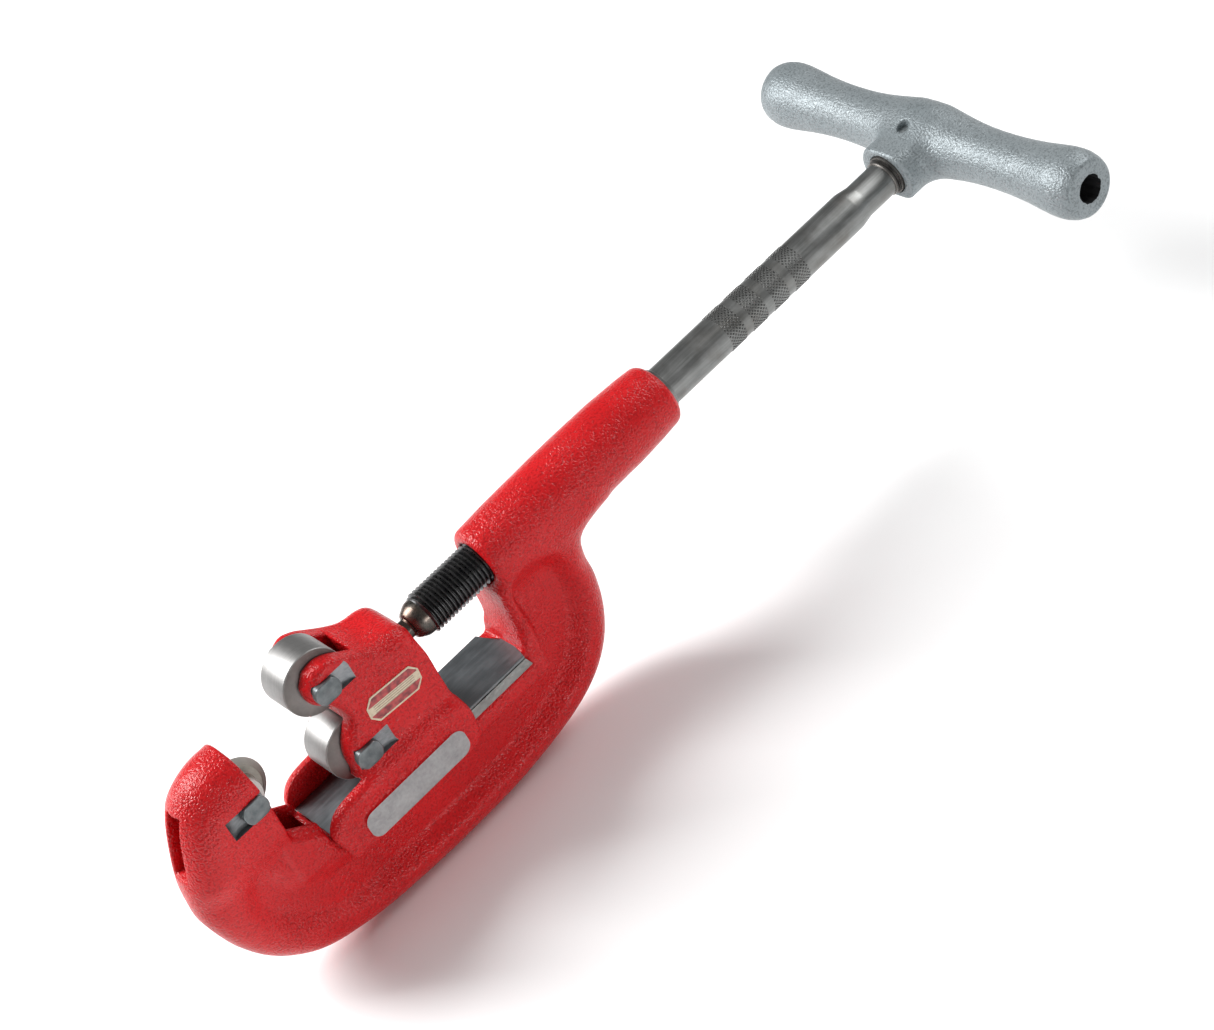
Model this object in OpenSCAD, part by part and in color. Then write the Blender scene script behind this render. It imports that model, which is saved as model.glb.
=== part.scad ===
// Heavy-duty single-wheel pipe cutter for pipe up to 2 inch nominal bore.
//
// Design axes: the cutting wheel turns about Y through x = 0, z = 0, and the
// feed screw lies along X at z = 0, with the handle at the +X end and the
// spine of the frame below it.  place() moves that datum so that the row's
// origin is at the centre of the bottom of the whole tool's bounding box.

/* [Jaw] */
// Distance from the wheel axis to the roller axes as modelled
jaw_gap = 51.5; // [34:0.5:60]
// Half the distance between the two roller axes
roller_rise = 20.1; // [19.5:0.1:22]
// Roller diameter
roller_d = 30.16; // [28:0.02:31]
// Roller length
roller_len = 17; // [15:0.5:17.4]
// Cutting wheel diameter over the edge
wheel_d = 31.8; // [28:0.1:32]
// Diameter of the cutting wheel's hub
wheel_hub_d = 20; // [16:0.5:24]
// Diameter of the roller and wheel pins
pin_d = 9.5; // [8:0.1:10]
// Play between a pin and what turns on it, on the radius
pin_play = 0.05; // [0.02:0.01:0.1]

/* [Frame] */
// How far the back of the hook reaches past the wheel axis
hook_reach = 42; // [40:0.5:46]
// Depth of the spine's back below the screw axis
spine_depth = 102.4; // [100:0.2:108]
// Half thickness of the frame casting
frame_half = 14; // [13:0.1:15.2]
// Depth of the flat way below the screw axis
way_depth = 42; // [40:0.5:44]
// Height of the machined side strip of the way
way_side = 7.6; // [6:0.1:8]
// Diameter of the screw barrel at its widest
barrel_d = 34.8; // [32:0.2:38]

/* [Screw] */
// Diameter over the screw thread
thread_d = 20; // [19:0.1:21]
// Thread pitch, twelve to the inch
pitch = 2.1167; // [2:0.0001:2.54]
// Diameter of the plain rod
rod_d = 19.05; // [18:0.05:19.4]
// Diameter of the reduced rod end in the handle
rod_tip_d = 16.6; // [15:0.1:17]
// Distance from the wheel axis to the handle bar's axis
handle_x = 430.4; // [400:0.2:440]

/* [Handle] */
// Length of the T bar
bar_len = 197; // [180:1:220]
// Diameter of the bar's waist
bar_waist_d = 25.3; // [24:0.1:28]
// Diameter of the swelling near each end
bar_swell_d = 31.4; // [29:0.2:34]
// Diameter of the swelling at the hub
bar_mid_d = 34; // [32:0.5:38]
// Diameter of the flat at each end
bar_end_d = 23.6; // [20:0.2:24]
// Diameter of the cored socket in each end
socket_d = 13.3; // [10:0.1:14]
// Depth of each cored socket
socket_len = 60; // [40:1:70]

/* [Hidden] */
$fn = 96;
eps = 0.01;
// Turns each round bar's start line away from the planes of symmetry
seam = 31;

// Whole tool
tool_x_min = -hook_reach;
tool_x_max = handle_x + bar_mid_d / 2;
tool_x_mid = (tool_x_min + tool_x_max) / 2;

// Frame stations along X
way_start = 20;
way_end = 134.5;
barrel_start = 140.5;
barrel_end = 252;
bore_play = 0.05;
cheek_half = 17;
cheek_floor = -27;
slot_half = 8.8;
slot_deep = 48;
slot_top = 18.2;
window_half = 4.6;
valley_side = 30;
valley_deep = 5.5;

// Pins
head_d = 13;
head_flat = 10;
head_thick = 4;
pin_head_y = -19.4;
wheel_head_y = -18.4;
ring_thick = 1.2;
ring_groove = 0.9;
ring_out = 1.6;
ring_slot = 4;
pin_end_y = 20.6;
ring_y = 17.6;

// Slide
slide_back = 96;
slide_half = 17.4;
skirt_back = 98;
skirt_front = 18.5;
skirt_top = -29.5;
skirt_bottom = -57;
skirt_out = 21.6;
pad_out = 23;
way_clear = 0.3;
way_half = 15.3;
under_way_half = 16.2;
under_clear = 0.6;
roller_room = 1.5;
boss_r = 9.5;
throat_back = 42;
pocket_front = 76;
label_thick = 0.3;
seat_play = 0.15;
bush_d = 24;
bush_deep = 14;
bush_out = 2.2;
disc_d = 16;
pocket_back = 86;

// Screw
neck_d = 9;
neck_end = pocket_front + 0.05;
cone_start = 100.5;
thread_start = 108;
thread_end = 200;
thread_deep = 1.25;
knurl_start = 289.6;
knurl_band = 10.2;
knurl_gap = 3.57;
knurl_d = 19.5;
taper_start = 376.5;
taper_end = 383;
hub_face = 403;
hub_pin_x = 420.5;
hub_pin_d = 6.3;
rod_end = 438;

// ---------------------------------------------------------------- helpers

module place() {
    translate([-tool_x_mid, 0, spine_depth]) children();
}

// A flat shape drawn in (x, z), made solid from y = -half to y = +half.
module plate(half) {
    rotate([90, 0, 0])
        translate([0, 0, -half])
            linear_extrude(2 * half) children();
}

// A flat shape drawn in (x, z), made solid between two values of y.
module slab(y_low, y_high) {
    translate([0, y_high, 0])
        rotate([90, 0, 0])
            linear_extrude(y_high - y_low) children();
}

// A round bar along Y at (x, z).
module y_bar(x, z, d, y_low, y_high) {
    translate([x, y_high, z])
        rotate([90, 0, 0]) rotate(seam) cylinder(d = d, h = y_high - y_low);
}

// A round bar along X on the screw axis.
module x_bar(d, x_low, x_high) {
    translate([x_low, 0, 0])
        rotate([0, 90, 0]) rotate(seam) cylinder(d = d, h = x_high - x_low);
}

// A round bar along Z at x.
module z_bar(x, d, z_low, z_high) {
    translate([x, 0, z_low]) rotate(seam) cylinder(d = d, h = z_high - z_low);
}

// A turned shape on the screw axis from a list of [x, radius].
module x_turned(profile) {
    rotate([90, 0, 0])
        rotate([0, 90, 0])
            rotate_extrude()
                polygon([for (p = profile) [p[1], p[0]]]);
}

// One point of a Catmull-Rom curve through p1 and p2.
function curve_point(p0, p1, p2, p3, t) =
    0.5 * (2 * p1 + (p2 - p0) * t
        + (2 * p0 - 5 * p1 + 4 * p2 - p3) * t * t
        + (3 * p1 - p0 - 3 * p2 + p3) * t * t * t);

// A smooth open curve through points, with steps pieces to each span.
function smooth(points, steps = 4) =
    let (n = len(points))
    concat(
        [for (i = [0 : n - 2], s = [0 : steps - 1])
            curve_point(
                points[max(i - 1, 0)], points[i],
                points[i + 1], points[min(i + 2, n - 1)], s / steps)],
        [points[n - 1]]);

// A smooth closed curve through points.
function smooth_loop(points, steps = 4) =
    let (n = len(points))
    [for (i = [0 : n - 1], s = [0 : steps - 1])
        curve_point(
            points[(i + n - 1) % n], points[i],
            points[(i + 1) % n], points[(i + 2) % n], s / steps)];

function reversed(points) = [for (i = [len(points) - 1 : -1 : 0]) points[i]];

// An arc of radius r about c.
function arc(c, r, from, to, steps = 6) =
    [for (i = [0 : steps])
        let (a = from + (to - from) * i / steps)
        c + r * [cos(a), sin(a)]];

// ------------------------------------------------------------------ frame

// Back of the casting, from the hook's tip round the spine to the barrel.
back_line = [for (p = smooth([
    [3, 23.6], [-6.8, 23.4], [-16.3, 20.6], [-23.5, 16.1], [-28.5, 9.3], [-33, 0],
    [-38.2, -14], [-hook_reach, -29], [-41.2, -43], [-35.4, -61.5], [-26, -77], [-11.5, -89.5],
    [8, -96.6], [32, -100.3], [56, -101.8], [78, -spine_depth], [100, -101.6],
    [122, -98.9], [143, -94.2], [160, -86.4], [172, -75], [179.5, -60],
    [183, -44], [183, -31], [187, -20], [201, -12]]))
    [max(p[0], -hook_reach), max(p[1], -spine_depth)]];

// Inside of the casting, from the barrel round the window, along the way
// and up the hook's inner face to its tip.
front_line = concat(
    [[150, -8], [138.5, -12], [137, -18], [136.6, -29]],
    [[135.8, -34], [way_end, -37.5], [way_end, -way_depth]],
    [[way_start, -way_depth], [way_start - 1, -44.5]],
    smooth([[14, -43.5], [8.5, -37.5], [5.4, -28], [5.6, -14], [6.2, 0],
            [5.8, 12], [5.3, 23]], 3));

module casting_shape() {
    polygon(concat(back_line, front_line));
}

// The part of the casting above the throat, where the cheeks are thicker.
module cheek_shape() {
    intersection() {
        casting_shape();
        translate([-60, cheek_floor]) square([80, 80]);
    }
}

// The valley between the rim and the way, one on each side.
module valley_shape() {
    polygon(smooth_loop([
        [-24, -29], [-28, -40], [-24, -55], [-12, -70], [6, -80], [30, -85.5],
        [60, -88], [95, -88], [128, -84], [150, -75], [164, -60], [169, -43],
        [165, -30], [155, -27], [148, -34], [148, -47], [141, -58], [126, -62],
        [90, -62.5], [50, -62.5], [18, -61], [0, -53], [-8, -41], [-12, -30]]));
}

barrel_profile = concat(
    [[barrel_start, 0]],
    arc([barrel_start + 3, 12.6], 3, 180, 95),
    [[168, 16.7], [barrel_end - 40, barrel_d / 2], [barrel_end - 28, 17.1]],
    arc([barrel_end - 4, 12.5], 4, 75, 0),
    [[barrel_end, 0]]);

// Slot for the wheel, from a pocket under the throat floor to below the tip,
// and the cored window from it through the back of the hook.
module wheel_slot() {
    slab(-slot_half, slot_half)
        union() {
            circle(r = wheel_d / 2 + 1.8);
            translate([-8, -slot_deep]) square([24, slot_deep]);
            translate([-8, -37]) square([40, 37]);
            translate([0, -wheel_d / 2]) square([40, wheel_d / 2 + slot_top]);
        }
    slab(-window_half, window_half)
        translate([-60, -14]) square([60, 27]);
}

// The milled seat of a pin head, open towards the far side of x.
module head_seat(x, z, floor_y, x_low, x_high) {
    translate([x_low, -60, z - head_flat / 2 - seat_play])
        cube([x_high - x_low, 60 + floor_y, head_flat + 2 * seat_play]);
}

module frame() {
    color("firebrick")
    place()
    difference() {
        union() {
            difference() {
                plate(frame_half) casting_shape();
                slab(-valley_side, -frame_half + valley_deep) valley_shape();
                slab(frame_half - valley_deep, valley_side) valley_shape();
            }
            plate(cheek_half) cheek_shape();
            // Ledge under the way, and the shoulder that closes its end
            plate(under_way_half)
                translate([way_start + 4, -way_depth - way_side - 8])
                    square([way_end + 12 - way_start - 4, 8]);
            plate(under_way_half)
                polygon([[way_end, -way_depth - way_side], [way_end, -way_depth],
                         [way_end + 3, -34], [way_end + 9, -30],
                         [way_end + 12, -way_depth - way_side]]);
            // The way itself
            plate(way_half)
                translate([way_start, -way_depth - way_side])
                    square([way_end - way_start, way_side]);
            x_turned(barrel_profile);
        }
        // Undercut below the way's working face, on both sides
        for (side = [-1, 1])
            translate([way_start - 1, side * way_half - 0.5, -way_depth - 2.3])
                cube([way_end - way_start + 1, 1, 0.9]);
        // Screw bore, opened out past the tapped length for the rod
        x_bar(thread_d + 2 * bore_play, barrel_start - 30, barrel_end - bush_deep);
        x_bar(bush_d, barrel_end - bush_deep - eps, barrel_end + 1);
        wheel_slot();
        // Wheel pin hole and the seat of its head
        y_bar(0, 0, pin_d + 0.02, -30, 30);
        head_seat(0, 0, wheel_head_y + head_thick, -12.5, 20);
    }
}

// Guide bush in the barrel's mouth, with a thin rim standing out of it.
module guide_bush() {
    color("silver")
    place()
    difference() {
        union() {
            x_bar(bush_d, barrel_end - bush_deep + 0.1, barrel_end - 0.5);
            x_bar(bush_d - 2.6, barrel_end - 0.5 - eps, barrel_end + bush_out);
        }
        x_bar(rod_d + 2 * bore_play, barrel_end - 20, barrel_end + 5);
    }
}

// ------------------------------------------------------------------- pins

// A pin along Y with a two-flat head at -Y and a ring groove at +Y.
module headed_pin(x, z, head_y) {
    difference() {
        union() {
            y_bar(x, z, pin_d, head_y + head_thick - eps, pin_end_y);
            intersection() {
                y_bar(x, z, head_d, head_y, head_y + head_thick);
                translate([x - head_d, head_y, z - head_flat / 2])
                    cube([2 * head_d, head_thick, head_flat]);
            }
        }
        difference() {
            y_bar(x, z, pin_d + 2, ring_y, ring_y + ring_thick);
            y_bar(x, z, pin_d - 2 * ring_groove, ring_y - 1, ring_y + ring_thick + 1);
        }
    }
}

// The open snap ring that holds a pin.
module snap_ring(x, z) {
    difference() {
        y_bar(x, z, pin_d + 2 * ring_out, ring_y, ring_y + ring_thick);
        y_bar(x, z, pin_d - 2 * ring_groove, ring_y - 1, ring_y + 3);
        translate([x, ring_y - 1, z - ring_slot / 2]) cube([20, 4, ring_slot]);
    }
}

module wheel_pin() {
    color("dimgray") place() headed_pin(0, 0, wheel_head_y);
}

module wheel_pin_ring() {
    color("gray") place() snap_ring(0, 0);
}

module upper_roller_pin() {
    color("dimgray") place() headed_pin(jaw_gap, roller_rise, pin_head_y);
}

module lower_roller_pin() {
    color("dimgray") place() headed_pin(jaw_gap, -roller_rise, pin_head_y);
}

module upper_pin_ring() {
    color("gray") place() snap_ring(jaw_gap, roller_rise);
}

module lower_pin_ring() {
    color("gray") place() snap_ring(jaw_gap, -roller_rise);
}

// ------------------------------------------------------ wheel and rollers

// Wide-hubbed wheel with a thin disc bevelled to a cutting edge.
module cutter_wheel() {
    hub_half = roller_len / 2;
    color("tan")
    place()
    rotate([90, 0, 0])
        rotate_extrude()
            polygon([
                [pin_d / 2 + pin_play, -hub_half], [wheel_hub_d / 2 - 0.6, -hub_half],
                [wheel_hub_d / 2, -hub_half + 0.6], [wheel_hub_d / 2, -2.1],
                [wheel_d / 2 - 2.6, -1.7], [wheel_d / 2, -0.15],
                [wheel_d / 2, 0.15], [wheel_d / 2 - 2.6, 1.7],
                [wheel_hub_d / 2, 2.1], [wheel_hub_d / 2, hub_half - 0.6],
                [wheel_hub_d / 2 - 0.6, hub_half], [pin_d / 2 + pin_play, hub_half]]);
}

// Plain turned roller with broken edges.
module roller(z) {
    half = roller_len / 2;
    edge = 0.7;
    color("lightgray")
    place()
    translate([jaw_gap, 0, z])
        rotate([90, 0, 0])
            rotate_extrude()
                polygon([
                    [pin_d / 2 + pin_play, -half], [roller_d / 2 - edge, -half],
                    [roller_d / 2, -half + edge], [roller_d / 2, half - edge],
                    [roller_d / 2 - edge, half], [pin_d / 2 + pin_play, half]]);
}

module upper_roller() {
    roller(roller_rise);
}

module lower_roller() {
    roller(-roller_rise);
}

// ------------------------------------------------------------------ slide

// Side view of the slide's upper body.
module slide_body_shape() {
    slide_in = jaw_gap + 2.4;
    union() {
        for (side = [-1, 1])
            translate([jaw_gap, side * roller_rise]) circle(r = boss_r);
        polygon(concat(
            [[slide_in, 14], [slide_in, -14], [jaw_gap - 7, -27], [jaw_gap - 7, -32]],
            [[30, -34], [30, skirt_bottom + 10], [slide_back, skirt_bottom + 10]],
            arc([slide_back - 8, 8], 8, 0, 90),
            [[78, 16], [70, 20.5], [64, 28], [jaw_gap, roller_rise + boss_r]],
            [[jaw_gap, 14]]));
    }
}

// Side view of a skirt.
module skirt_shape() {
    polygon(concat(
        smooth([[skirt_front + 2.4, skirt_bottom + 2], [skirt_front, -46],
                [skirt_front + 0.6, -38], [24, -32], [32, skirt_top],
                [46, skirt_top + 1]], 3),
        [[74, -28], [skirt_back - 1.5, -32], [skirt_back, -36],
         [skirt_back, skirt_bottom + 4], [skirt_back - 4, skirt_bottom]]));
}

// Raised flat pad on a skirt.
module pad_shape() {
    translate([60.7, -46])
        union() {
            square([42, 14.6], center = true);
            for (side = [-1, 1])
                translate([side * 20.6, 0]) circle(d = 14.6);
        }
}

// Room for one roller in the slide.
module roller_room_shape(z) {
    translate([jaw_gap, z]) circle(r = roller_d / 2 + roller_room);
}

module slide() {
    color("red")
    place()
    difference() {
        union() {
            plate(slide_half) slide_body_shape();
            plate(skirt_out) skirt_shape();
            plate(pad_out) pad_shape();
        }
        // Channel over the way, and the wider channel below it
        plate(way_half + way_clear)
            translate([0, -80]) square([120, 80 - way_depth + way_clear]);
        plate(under_way_half + under_clear)
            translate([0, -80]) square([120, 80 - way_depth - way_side + 0.8]);
        // Roller slots, the upper one open through the top
        slab(-slot_half, slot_half) {
            roller_room_shape(roller_rise);
            roller_room_shape(-roller_rise);
            translate([jaw_gap + 4, 11]) square([15.5, 30]);
            translate([0, roller_rise - 17]) square([jaw_gap, 40]);
            translate([0, -roller_rise - 30]) square([jaw_gap, 30 + 17]);
            translate([0, -40]) square([jaw_gap - 3, 60]);
        }
        // The throat between the skirts is open below the lower roller, so that
        // the hook fits between them when the jaw closes
        slab(-way_half - way_clear, way_half + way_clear)
            translate([0, -44]) square([throat_back, 30]);
        // Pin holes and the milled seats of their heads
        for (z = [-roller_rise, roller_rise]) {
            y_bar(jaw_gap, z, pin_d + 0.02, -30, 30);
            head_seat(jaw_gap, z, pin_head_y + head_thick, 30, jaw_gap + 11);
        }
        // Neck bore, the ring pocket open to the channel, and the disc's seat
        x_bar(neck_d + 2 * bore_play, pocket_back - 1, slide_back + 10);
        translate([pocket_front, -9.5, -way_depth])
            cube([pocket_back - pocket_front, 19, way_depth + 9.5]);
        x_bar(disc_d, pocket_front - 4, pocket_front + 1);
    }
}

// Foil label with clipped corners on the slide's near side.
module side_label() {
    color("beige")
    place()
    slab(-slide_half - label_thick, -slide_half)
        translate([74.3, -5.6])
            rotate(-5)
                polygon([[-14, -2.6], [-10.6, -6.6], [10.6, -6.6], [14, -2.6],
                         [14, 2.6], [10.6, 6.6], [-10.6, 6.6], [-14, 2.6]]);
}

// Hardened disc that takes the thrust of the screw's end.
module thrust_disc() {
    color("darkgray") place() x_bar(disc_d, pocket_front - 4, pocket_front);
}

// ------------------------------------------------------------------ screw

module feed_screw() {
    r = thread_d / 2;
    turns = floor((thread_end - thread_start) / pitch);
    color("slategray")
    place()
    difference() {
        union() {
            x_turned(concat(
                [[neck_end, 0], [neck_end, neck_d / 2 - 0.5], [neck_end + 0.5, neck_d / 2]],
                [[cone_start, neck_d / 2], [cone_start + 0.6, 6], [cone_start + 4, 8.3]],
                [[thread_start - 0.8, r - thread_deep], [thread_start, r - thread_deep]],
                [for (i = [0 : turns - 1], k = [0 : 2])
                    [thread_start + (i + [0.25, 0.5, 1][k]) * pitch,
                     r - thread_deep * [0.12, 0.12, 1][k]]],
                [[thread_end + 1, rod_d / 2], [taper_start, rod_d / 2]],
                [[taper_end, rod_tip_d / 2], [hub_face - 3, rod_tip_d / 2]],
                [[hub_face - 2.4, 8.9], [hub_face - 1.2, 8.9], [hub_face - 0.6, 9.8]],
                [[hub_face + 1.4, 9.8], [hub_face + 1.5, rod_tip_d / 2]],
                [[rod_end - 1, rod_tip_d / 2], [rod_end, rod_tip_d / 2 - 1], [rod_end, 0]]));
            for (i = [0 : 3])
                x_bar(knurl_d, knurl_start + i * (knurl_band + knurl_gap),
                      knurl_start + i * (knurl_band + knurl_gap) + knurl_band);
        }
        // Groove of the retaining ring
        difference() {
            x_bar(neck_d + 2, pocket_back - 3.6, pocket_back - 2.4);
            x_bar(neck_d - 1.6, pocket_back - 5, pocket_back);
        }
        z_bar(hub_pin_x, hub_pin_d, -20, 20);
    }
}

// Washer between the retaining ring and the slide's back wall.
module pull_washer() {
    color("silver")
    place()
    difference() {
        x_bar(17, pocket_back - 2.2, pocket_back - 0.3);
        x_bar(neck_d + 0.2, pocket_back - 3, pocket_back + 1);
    }
}

// Open ring in the groove at the end of the screw's neck.
module screw_ring() {
    color("gray")
    place()
    difference() {
        x_bar(neck_d + 4, pocket_back - 3.6, pocket_back - 2.4);
        x_bar(neck_d - 1.6, pocket_back - 5, pocket_back);
        translate([pocket_back - 5, -2, -20]) cube([5, 4, 20]);
    }
}

// ----------------------------------------------------------------- handle

// Radius of the T bar at each distance from its middle, out to one end.
bar_half = smooth([
    [0, bar_mid_d / 2], [8, 16.6], [18, 14.9], [30, 13.3], [46, bar_waist_d / 2],
    [62, 13], [76, 14.6], [87, bar_swell_d / 2], [94, 15],
    [bar_len / 2 - 1, bar_end_d / 2 + 0.8], [bar_len / 2, bar_end_d / 2]], 3);

// Half section of the whole bar with its two sockets, as [radius, distance
// from the middle].
socket_floor = bar_len / 2 - socket_len;
bar_section = concat(
    [[0, -socket_floor], [socket_d / 2, -socket_floor], [socket_d / 2, -bar_len / 2]],
    [for (p = reversed(bar_half)) [p[1], -p[0]]],
    [for (i = [1 : len(bar_half) - 1]) [bar_half[i][1], bar_half[i][0]]],
    [[socket_d / 2, bar_len / 2], [socket_d / 2, socket_floor], [0, socket_floor]]);

module t_handle() {
    color("lightsteelblue")
    place()
    difference() {
        union() {
            translate([handle_x, 0, 0])
                rotate([-90, 0, 0])
                    rotate_extrude() polygon(bar_section);
            // Squared hub with flats above and below for the cross pin
            intersection() {
                x_bar(30, hub_face, handle_x);
                translate([hub_face, -15, -12.6]) cube([60, 30, 25.2]);
            }
        }
        x_bar(rod_tip_d, hub_face - 1, rod_end);
        x_bar(20.4, hub_face - 1, hub_face + 1.5);
        z_bar(hub_pin_x, hub_pin_d, -20, 20);
    }
}

// Grooved pin through the hub and the rod.
module handle_pin() {
    color("dimgray")
    place()
    z_bar(hub_pin_x, hub_pin_d, -11.8, 11.8);
}

frame();
guide_bush();
wheel_pin();
wheel_pin_ring();
cutter_wheel();
slide();
side_label();
thrust_disc();
upper_roller_pin();
lower_roller_pin();
upper_pin_ring();
lower_pin_ring();
upper_roller();
lower_roller();
feed_screw();
pull_washer();
screw_ring();
t_handle();
handle_pin();
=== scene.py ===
"""Looks of the pipe cutter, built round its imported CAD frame.

The castings are shaped as distance fields on a grid, joined with soft fillets, and
skinned with a closed mesh.  Turned, threaded and knurled pieces are swept meshes.
Shapes are drawn in tool millimetres: x = 0, z = 0 on the cutting wheel's axis, +X
along the screw to the handle, +Z from the spine up to the screw.
"""
import math

import bpy
import bmesh
import numpy as np
from mathutils import Matrix, Vector


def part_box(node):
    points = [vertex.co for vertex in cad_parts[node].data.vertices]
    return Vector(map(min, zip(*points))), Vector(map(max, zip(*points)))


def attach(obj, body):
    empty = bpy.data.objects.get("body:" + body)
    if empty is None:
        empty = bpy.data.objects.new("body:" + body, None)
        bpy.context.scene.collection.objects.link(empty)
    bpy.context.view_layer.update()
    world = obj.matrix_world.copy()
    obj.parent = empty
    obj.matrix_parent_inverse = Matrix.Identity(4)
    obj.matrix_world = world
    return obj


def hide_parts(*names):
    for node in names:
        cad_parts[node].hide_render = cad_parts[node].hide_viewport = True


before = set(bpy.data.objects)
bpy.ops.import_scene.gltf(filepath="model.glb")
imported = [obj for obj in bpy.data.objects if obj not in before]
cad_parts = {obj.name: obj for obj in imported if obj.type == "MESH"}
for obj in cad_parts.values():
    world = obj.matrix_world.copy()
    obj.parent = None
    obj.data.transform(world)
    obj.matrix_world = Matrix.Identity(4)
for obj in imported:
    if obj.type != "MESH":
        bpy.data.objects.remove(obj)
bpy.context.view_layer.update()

MM = 0.001


def middle(node):
    """Centre of a CAD node's box, in metres."""
    low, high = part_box(node)
    return (low + high) / 2


WHEEL = middle("cutter_wheel")


def tool(point):
    """A row-frame point in metres, as tool millimetres."""
    return (Vector(point) - WHEEL) / MM


JAW = tool(middle("upper_roller")).x
RISE = tool(middle("upper_roller")).z
BAR_MID_R = 17.0
HANDLE_X = tool(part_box("t_handle")[1]).x - BAR_MID_R
BAR_HALF = tool(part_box("t_handle")[1]).y
BARREL_END = tool(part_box("frame")[1]).x
WHEEL_R = tool(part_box("cutter_wheel")[1]).x
ROLLER_R = tool(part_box("upper_roller")[1]).z - RISE
ROLLER_HALF = tool(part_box("upper_roller")[1]).y

WAY_Z = -42.0
WAY_START, WAY_END = 20.0, 134.5
WAY_HALF = 15.3
STRIP_Z = WAY_Z - 2.3
BARREL_START = 140.5
BUSH_DEEP = 14.0
SLOT_HALF = 8.8
ANY_Y = (-99, 99)
PIN_R, PIN_HOLE_R = 4.75, 4.85
ROD_R = 9.5
HUB_MOUTH = 404.5
LABEL_TILT = math.radians(-5)
PITCH = 2.1167


# ------------------------------------------------------------ curves in tool mm

def smooth(points, steps=4, closed=False):
    """Catmull-Rom curve through points."""
    p = np.array(points, float)
    n = len(p)
    out = []
    for i in range(n if closed else n - 1):
        near = [i - 1, i, i + 1, i + 2]
        a, b, c, d = (p[k % n] if closed else p[min(max(k, 0), n - 1)] for k in near)
        for t in np.arange(steps) / steps:
            out.append(0.5 * (2 * b + (c - a) * t + (2 * a - 5 * b + 4 * c - d) * t ** 2
                              + (3 * b - a - 3 * c + d) * t ** 3))
    return out if closed else out + [p[-1]]


def ease(start, end, value):
    """0 at start, 1 at end, smooth between."""
    t = np.clip((value - start) / (end - start), 0, 1)
    return t * t * (3 - 2 * t)


# ------------------------------------------------------------- distance fields

class Grid:
    """A box of sample points, spaced by cell, in tool millimetres."""

    def __init__(self, low, high, cell):
        self.low = np.array(low, np.float32)
        self.cell = cell
        counts = [int(math.ceil((h - l) / cell)) + 1 for l, h in zip(low, high)]
        x, y, z = (low[i] + cell * np.arange(n, dtype=np.float32) for i, n in enumerate(counts))
        self.x = x[:, None, None]
        self.y = y[None, :, None]
        self.z = z[None, None, :]

    def outline(self, points):
        """Signed distance to a closed outline in (x, z), negative inside."""
        x, z = np.broadcast_arrays(self.x[:, 0], self.z[0])
        points = np.array(points, np.float32)
        nearest = np.full(x.shape, 1e9, np.float32)
        inside = np.zeros(x.shape, bool)
        for (ax, az), (bx, bz) in zip(points, np.roll(points, -1, 0)):
            ex, ez = bx - ax, bz - az
            size = ex * ex + ez * ez
            if size < 1e-9:
                continue
            t = np.clip(((x - ax) * ex + (z - az) * ez) / size, 0, 1)
            nearest = np.minimum(nearest, (x - ax - t * ex) ** 2 + (z - az - t * ez) ** 2)
            if abs(ez) > 1e-9:
                crosses = ((az > z) != (bz > z)) & (x < ex * (z - az) / ez + ax)
                inside ^= crosses
        return (np.sqrt(nearest) * np.where(inside, -1, 1))[:, None, :]

    def waves(self, size, seed, count=10):
        """A gentle uneven surface, between about -1 and 1."""
        rng = np.random.default_rng(seed)
        total = 0
        for _ in range(count):
            way = rng.normal(size=3)
            way *= 2 * math.pi / (size * rng.uniform(0.7, 1.6) * np.linalg.norm(way))
            phase = rng.uniform(0, 2 * math.pi)
            total = total + np.sin(way[0] * self.x + way[1] * self.y + way[2] * self.z + phase)
        return (total / math.sqrt(count)).astype(np.float32)


def join(a, b, fillet):
    """Union with a soft fillet."""
    h = np.maximum(fillet - np.abs(a - b), 0) / fillet
    return np.minimum(a, b) - h * h * fillet / 4


def meet(a, b, radius):
    """Intersection with its outer edge rounded."""
    u, v = a + radius, b + radius
    outside = np.hypot(np.maximum(u, 0), np.maximum(v, 0))
    return outside + np.minimum(np.maximum(u, v), 0) - radius


def cut(a, b, radius=0.7):
    """a without b, the rim of the cut rounded."""
    return meet(a, -b, radius)


def span(value, low, high):
    """Distance outside a span along one axis."""
    return np.maximum(low - value, value - high)


def block(g, x, y, z):
    """Distance to a box given as three (low, high) spans."""
    return np.maximum(np.maximum(span(g.x, *x), span(g.y, *y)), span(g.z, *z))


def round_y(g, x, z, radius):
    """Distance to a round bar along Y."""
    return np.hypot(g.x - x, g.z - z) - radius


def round_x(g, radius):
    """Distance to a round bar on the screw axis."""
    return np.hypot(g.y, g.z) - radius


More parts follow.
